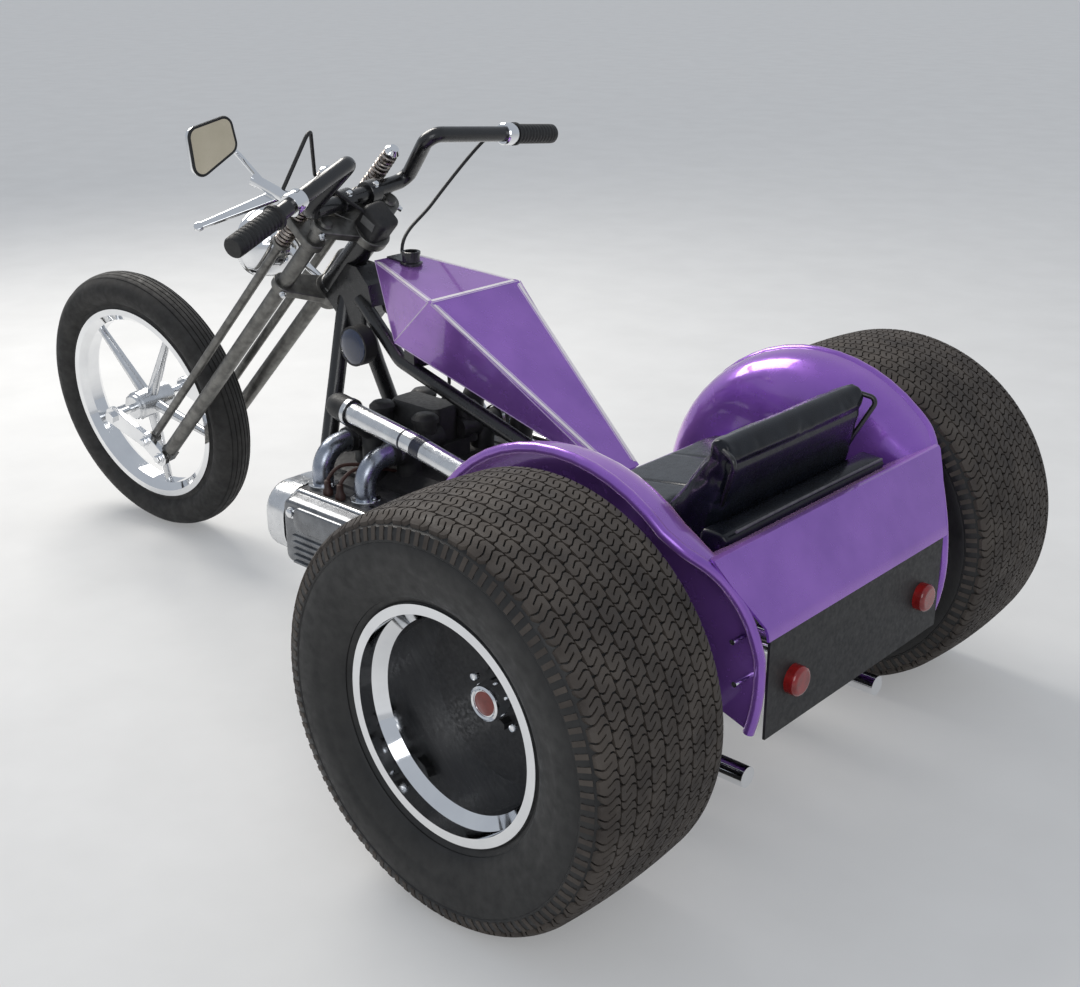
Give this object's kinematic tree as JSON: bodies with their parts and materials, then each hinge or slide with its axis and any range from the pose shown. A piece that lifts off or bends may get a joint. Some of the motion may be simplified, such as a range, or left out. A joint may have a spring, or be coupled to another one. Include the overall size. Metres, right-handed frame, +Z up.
{
  "type": "custom chopper trike",
  "caption": "Three-wheeled custom motorcycle with a raked sprung fork, faceted tank, open flat engine, low body and very wide rear tyres.",
  "frame": {"origin": "on the ground, midway along the vehicle's length and on its centre plane", "axes": "+X forward, +Y to the rider's left, +Z up"},
  "size_m": [2.5419, 1.49, 1.2002],
  "materials": {
    "black_frame": "gloss",
    "purple_body": "metallic gloss",
    "alloy": "polished",
    "chrome": "mirror",
    "grey_fork": "satin",
    "black_centre": "satin",
    "tyre_rubber": "matte",
    "soft_rubber": "matte",
    "vinyl": "gloss",
    "red_lens": "gloss",
    "clear_lens": "gloss",
    "mirror_face": "mirror"
  },
  "bodies": {
    "frame": {"steering_neck": "black_frame", "top_rails": "black_frame", "downtubes": "black_frame", "cradle_rails": "black_frame", "tank_stays": "black_frame", "fuel_tank": "purple_body", "filler_neck": "black_frame", "horn": "black_frame", "crankcase": "black_frame", "gearbox": "black_frame", "cylinder_heads": "alloy", "valve_covers": "alloy", "belt_covers": "alloy", "carburettors": "black_frame", "intake_runners": "alloy", "rubber_hoses": "soft_rubber", "coolant_pipes": "alloy", "exhaust": "chrome", "axle_housing": "black_frame", "drive_shaft": "black_frame", "rear_body": "purple_body", "rear_valance": "black_frame", "tail_lamps": "red_lens", "fender_studs": "chrome", "fender_left": "purple_body", "fender_right": "purple_body", "fender_lip_left": "purple_body", "fender_lip_right": "purple_body", "seat_base": "vinyl", "backrest": "vinyl", "seat_roll": "vinyl", "foot_pegs": "black_frame"},
    "steering": {"fork_trees": "grey_fork", "fork_legs": "grey_fork", "fork_springs": "chrome", "fork_rockers": "chrome", "front_axle": "chrome", "handlebar": "black_frame", "bar_risers": "chrome", "grips": "soft_rubber", "bar_controls": "chrome", "clutch_lever": "chrome", "mirror_shell": "chrome", "mirror_glass": "mirror_face", "headlamp_shell": "chrome", "headlamp_lens": "clear_lens", "headlamp_bracket": "chrome", "switch_box": "black_frame"},
    "front_wheel": {"front_tyre": "tyre_rubber", "front_rim": "chrome", "front_spokes": "chrome"},
    "rear_wheel_left": {"rear_tyre_left": "tyre_rubber", "rear_rim_left": "chrome", "rear_centre_left": "black_centre", "rear_cap_left": "chrome"},
    "rear_wheel_right": {"rear_tyre_right": "tyre_rubber", "rear_rim_right": "chrome", "rear_centre_right": "black_centre", "rear_cap_right": "chrome"}
  },
  "joints": [
    {"name": "steer", "type": "hinge", "parent": "frame", "child": "steering", "pos_m": [0.94605, 0, 0], "axis": [-0.7071, 0, 0.7071], "range_deg": [-38, 22]},
    {"name": "front_roll", "type": "hinge", "parent": "steering", "child": "front_wheel", "pos_m": [0.91647, 0.03229, 0.35449], "axis": [-0.0984, 0.9903, -0.0984], "continuous": true},
    {"name": "rear_roll_left", "type": "hinge", "parent": "frame", "child": "rear_wheel_left", "pos_m": [-0.90595, 0.585, 0.365], "axis": [0, 1, 0], "continuous": true},
    {"name": "rear_roll_right", "type": "hinge", "parent": "frame", "child": "rear_wheel_right", "pos_m": [-0.90595, -0.585, 0.365], "axis": [0, 1, 0], "continuous": true}
  ]
}
